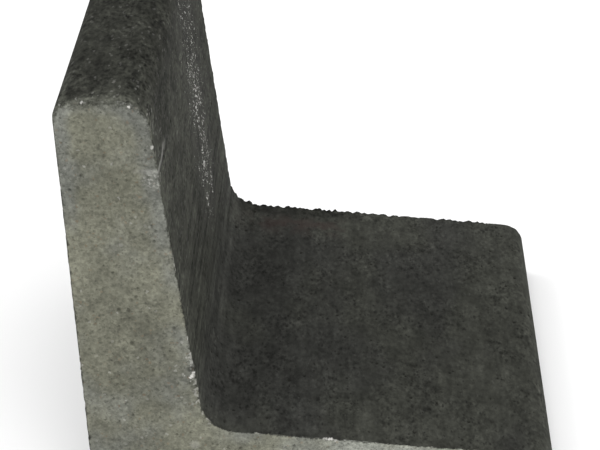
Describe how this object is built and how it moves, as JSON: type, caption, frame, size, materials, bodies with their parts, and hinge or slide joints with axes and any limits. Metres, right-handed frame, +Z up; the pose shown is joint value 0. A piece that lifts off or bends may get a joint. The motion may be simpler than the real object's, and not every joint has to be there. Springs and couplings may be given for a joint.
{
  "type": "l-shaped retaining wall unit",
  "caption": "Solid cast concrete L-shaped retaining wall unit: an upright stem with a battered inner face, a foot that thins towards its toe, a filleted inner angle and rounded long edges.",
  "frame": {"origin": "centre of the square that the unit covers on its bed, at the level of the underside of the foot", "axes": "+X from the stem towards the toe of the foot, +Y along the run of the wall, +Z up; the outer face of the stem looks along -X"},
  "size_m": [0.4, 0.4, 0.4],
  "materials": {
    "concrete": "matte"
  },
  "bodies": {
    "root": {"wall_unit": "concrete"}
  },
  "joints": []
}
